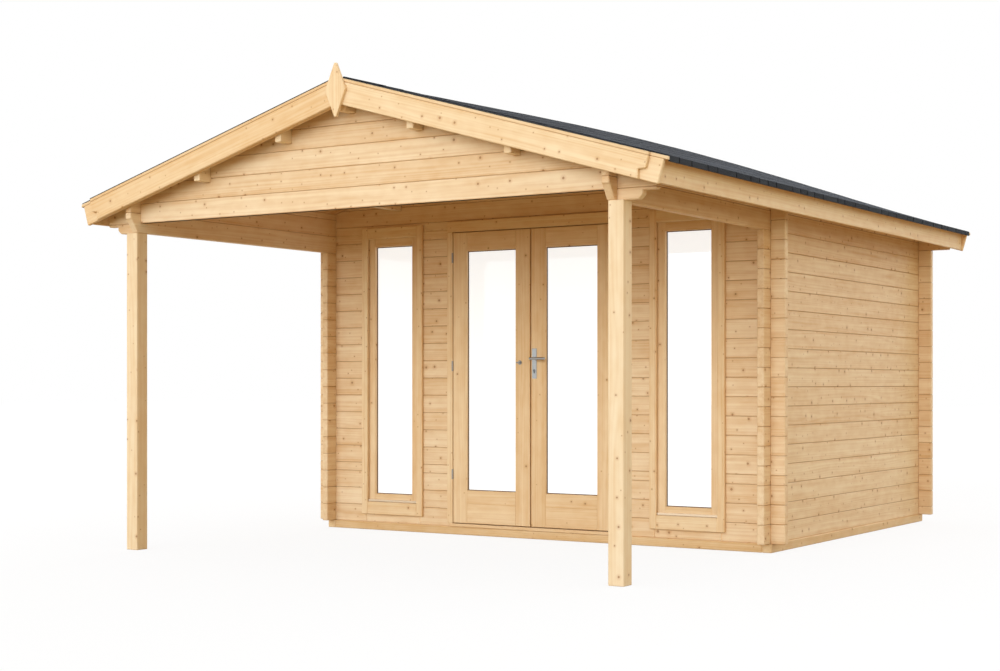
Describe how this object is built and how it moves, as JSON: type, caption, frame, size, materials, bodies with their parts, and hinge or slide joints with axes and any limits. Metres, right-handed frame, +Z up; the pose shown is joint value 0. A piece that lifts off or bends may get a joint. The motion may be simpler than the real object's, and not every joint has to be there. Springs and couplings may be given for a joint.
{
  "type": "log cabin",
  "caption": "Small log cabin of interlocking planed logs with a porch under one low gable roof, tall fixed windows and a glazed double door with a lever handle.",
  "frame": {"origin": "on the ground, under the middle of the cabin's overall length and width, roof overhangs included", "axes": "+X to the right when facing the door, +Y from the porch towards the rear wall, +Z up"},
  "size_m": [3.916, 4.776, 2.693],
  "materials": {
    "wall_logs": "planed spruce with a thin clear coat, satin",
    "framing_wood": "planed spruce, satin",
    "trim_wood": "planed spruce boards, satin",
    "joinery_wood": "smooth planed spruce, satin",
    "floor_wood": "planed tongue-and-groove boards",
    "foundation_wood": "impregnated beams, matt",
    "roofing": "mineral-faced bitumen shingles, matt",
    "glass": "clear, smooth",
    "handle_metal": "satin nickel",
    "hinge_metal": "dark zinc",
    "rail_metal": "matt anodised"
  },
  "bodies": {
    "cabin": {"foundation_side_beams": "foundation_wood", "foundation_cross_beams": "foundation_wood", "floor_boards": "floor_wood", "side_wall_left": "wall_logs", "side_wall_right": "wall_logs", "side_beam_left": "wall_logs", "side_beam_right": "wall_logs", "front_wall_left": "wall_logs", "front_wall_right": "wall_logs", "front_wall_sills": "wall_logs", "front_wall_top": "wall_logs", "rear_wall": "wall_logs", "rear_gable": "wall_logs", "porch_gable": "wall_logs", "porch_posts": "framing_wood", "ridge_purlin": "framing_wood", "side_purlins": "framing_wood", "roof_boards_left": "framing_wood", "roof_boards_right": "framing_wood", "shingles_left": "roofing", "shingles_right": "roofing", "front_bargeboard_left": "trim_wood", "front_bargeboard_right": "trim_wood", "rear_bargeboard_left": "trim_wood", "rear_bargeboard_right": "trim_wood", "eave_fascias": "trim_wood", "finial": "trim_wood", "door_jambs": "joinery_wood", "door_head": "joinery_wood", "door_threshold": "joinery_wood", "door_architrave": "trim_wood", "frame_hinges": "hinge_metal", "window_frames": "joinery_wood", "window_glass": "glass", "window_trims": "trim_wood", "window_drip_rails": "rail_metal"},
    "left_door": {"door_leaf_left": "joinery_wood", "door_glass_left": "glass", "leaf_hinges_left": "hinge_metal"},
    "right_door": {"door_leaf_right": "joinery_wood", "door_glass_right": "glass", "leaf_hinges_right": "hinge_metal", "lock_plates": "handle_metal"},
    "handle": {"door_lever": "handle_metal"}
  },
  "joints": [
    {"name": "left_door_hinge", "type": "hinge", "parent": "cabin", "child": "left_door", "pos_m": [-0.595, -0.412, 1], "axis": [0, 0, -1], "range_deg": [0, 170]},
    {"name": "right_door_hinge", "type": "hinge", "parent": "cabin", "child": "right_door", "pos_m": [0.595, -0.412, 1], "axis": [0, 0, 1], "range_deg": [0, 170]},
    {"name": "handle_turn", "type": "hinge", "parent": "right_door", "child": "handle", "pos_m": [0.03, -0.386, 1.142], "axis": [0, 1, 0], "range_deg": [0, 40], "stiffness_Nm_per_rad": 1.5, "springref_deg": -28.65}
  ]
}
